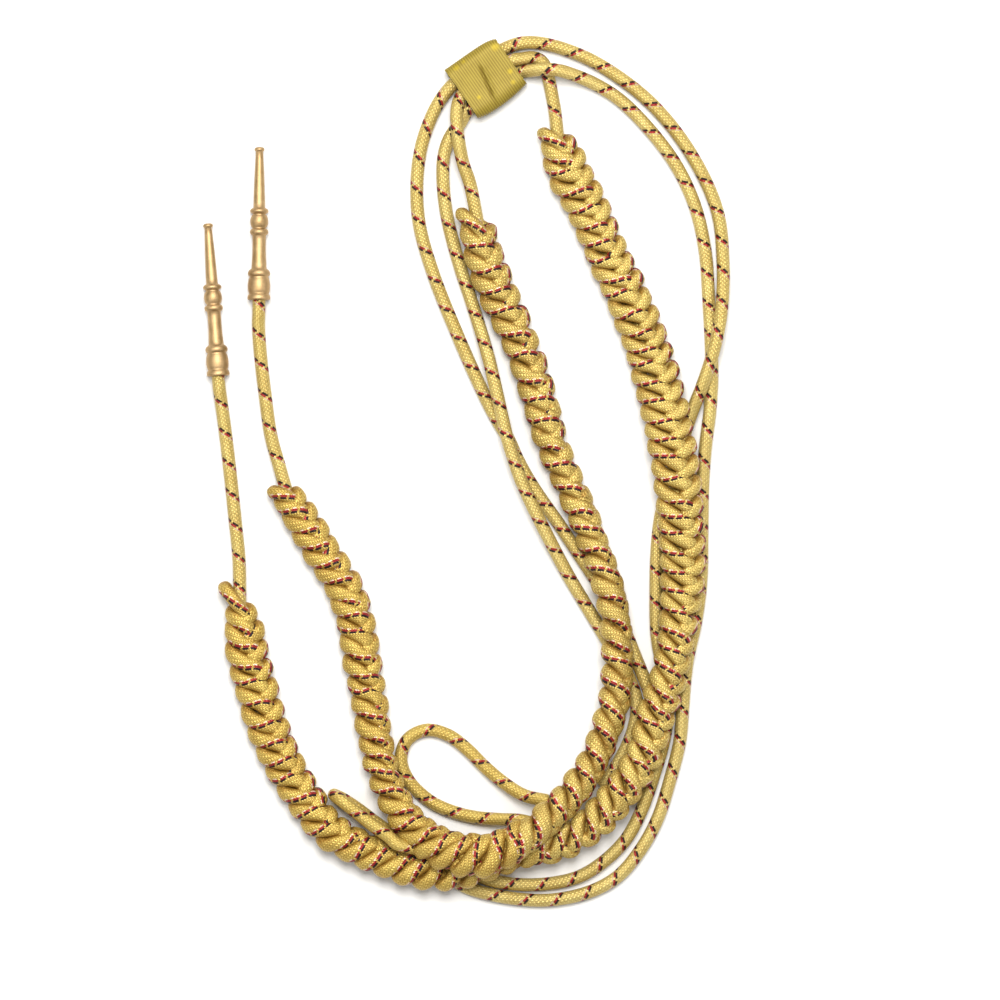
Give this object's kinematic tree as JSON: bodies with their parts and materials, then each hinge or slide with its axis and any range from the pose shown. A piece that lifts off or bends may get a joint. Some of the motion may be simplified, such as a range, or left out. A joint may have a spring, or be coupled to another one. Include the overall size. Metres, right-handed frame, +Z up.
{
  "type": "aiguillette",
  "caption": "Dress aiguillette of braided metallic cord lying flat: chain-plaited arms, plain arm loops under a ribbon keeper, button loops and turned brass tags.",
  "frame": {"origin": "middle of the bounding box in plan, on the surface that the aiguillette lies on", "axes": "+Z up off the surface, +Y from the plaited bight towards the keeper band, +X from the tags towards the arm loops"},
  "size_m": [0.2632, 0.4338, 0.0324],
  "materials": {
    "gold_cord": "braided metallic thread, soft sheen",
    "pale_gold_cord": "braided metallic thread, soft sheen",
    "keeper_ribbon": "ribbed grosgrain, dull sheen",
    "tag_brass": "satin"
  },
  "bodies": {
    "root": {"inner_plait_upper": "gold_cord", "inner_plait_lower": "gold_cord", "outer_plait_upper": "pale_gold_cord", "outer_plait_lower": "pale_gold_cord", "arm_cord_outer": "gold_cord", "arm_cord_inner": "pale_gold_cord", "shoulder_cord": "gold_cord", "front_button_loop": "gold_cord", "back_button_loop": "pale_gold_cord", "keeper_band": "keeper_ribbon", "tag_left": "tag_brass", "tag_right": "tag_brass", "tag_cord_left": "gold_cord", "tag_cord_right": "gold_cord"}
  },
  "joints": []
}
